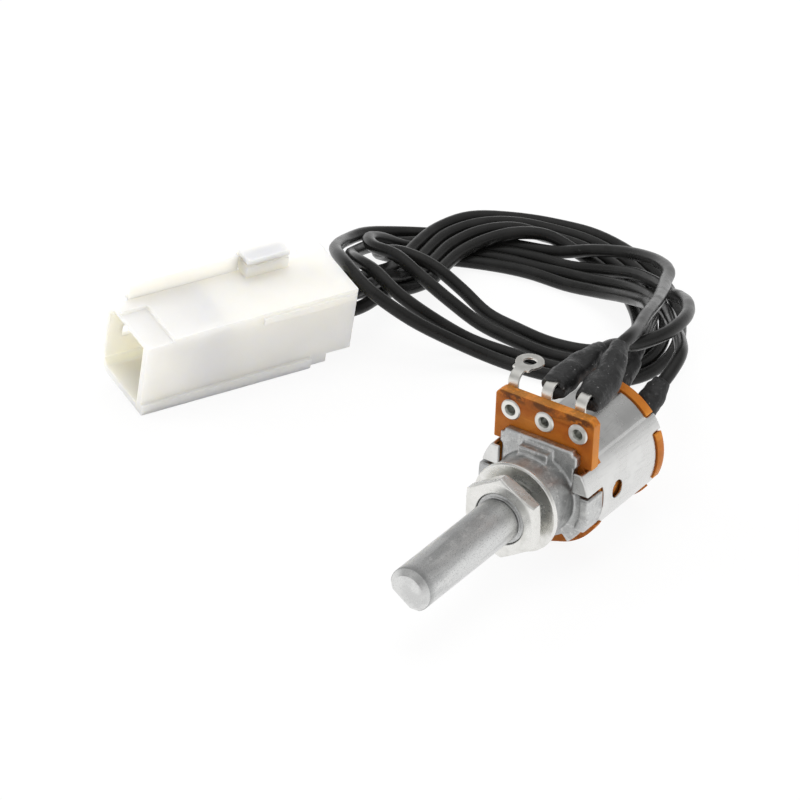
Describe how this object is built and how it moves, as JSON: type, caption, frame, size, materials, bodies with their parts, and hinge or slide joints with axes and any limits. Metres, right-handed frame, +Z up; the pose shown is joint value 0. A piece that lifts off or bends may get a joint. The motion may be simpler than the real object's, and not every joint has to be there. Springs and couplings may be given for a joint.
{
  "type": "rotary potentiometer",
  "caption": "Rotary potentiometer with flatted shaft, threaded bushing with nut and washer, die-cast plate, steel case, solder lugs, rear switch and a wired nylon connector.",
  "frame": {"origin": "on the floor under the middle of the potentiometer's bounding box, cords and what they carry left out", "axes": "+X along the row of solder lugs, -Y out along the shaft towards its tip, +Z up; the boss face is the plane Y = 0"},
  "size_m": [0.0764, 0.1011, 0.0249],
  "materials": {
    "turned_steel": "fine turned, satin",
    "diecast_zinc": "die-cast zinc, dull grey with turned faces",
    "nickel_plate": "bright nickel plate",
    "phenolic": "orange-brown phenolic laminate, semi-matt",
    "phenolic_moulding": "orange-brown phenolic moulding",
    "tinned_metal": "tin or silver plated, soft satin",
    "silver_track": "silvered ring",
    "spring_bronze": "rolled spring bronze",
    "case_steel": "bright formed sheet with light wear",
    "cam_plastic": "natural plastic",
    "shrink_sleeve": "shrunk polyolefin, semi-matt, wrinkled",
    "wire_insulation": "black soft insulation, semi-matt",
    "nylon": "natural translucent nylon",
    "contact_brass": "tinned brass strip"
  },
  "bodies": {
    "body": {"front_plate": "diecast_zinc", "hex_nut": "nickel_plate", "washer": "nickel_plate", "front_wafer": "phenolic", "eyelet_left": "tinned_metal", "eyelet_middle": "tinned_metal", "eyelet_right": "tinned_metal", "lug_left": "tinned_metal", "lug_middle": "tinned_metal", "lug_right": "tinned_metal", "collector_ring": "silver_track", "case": "case_steel", "switch_housing": "phenolic_moulding", "switch_blade": "spring_bronze", "switch_contact": "spring_bronze", "rear_disc": "phenolic", "rear_lug_a": "tinned_metal", "rear_lug_b": "tinned_metal", "rear_rivet_a": "tinned_metal", "rear_rivet_b": "tinned_metal", "sleeve_middle": "shrink_sleeve", "sleeve_right": "shrink_sleeve", "sleeve_rear_a": "shrink_sleeve", "sleeve_rear_b": "shrink_sleeve", "wire_1": "wire_insulation", "wire_2": "wire_insulation", "wire_3": "wire_insulation", "wire_4": "wire_insulation", "connector_housing": "nylon", "contact_1": "contact_brass", "contact_2": "contact_brass", "contact_3": "contact_brass", "contact_4": "contact_brass"},
    "spindle": {"shaft": "turned_steel", "retaining_ring": "nickel_plate", "rotor": "phenolic_moulding", "wiper": "spring_bronze", "switch_cam": "cam_plastic"}
  },
  "joints": [
    {"name": "shaft_turn", "type": "hinge", "parent": "body", "child": "spindle", "pos_m": [0, 0, 0.00845], "axis": [0, 1, 0], "range_deg": [0, 300]}
  ]
}
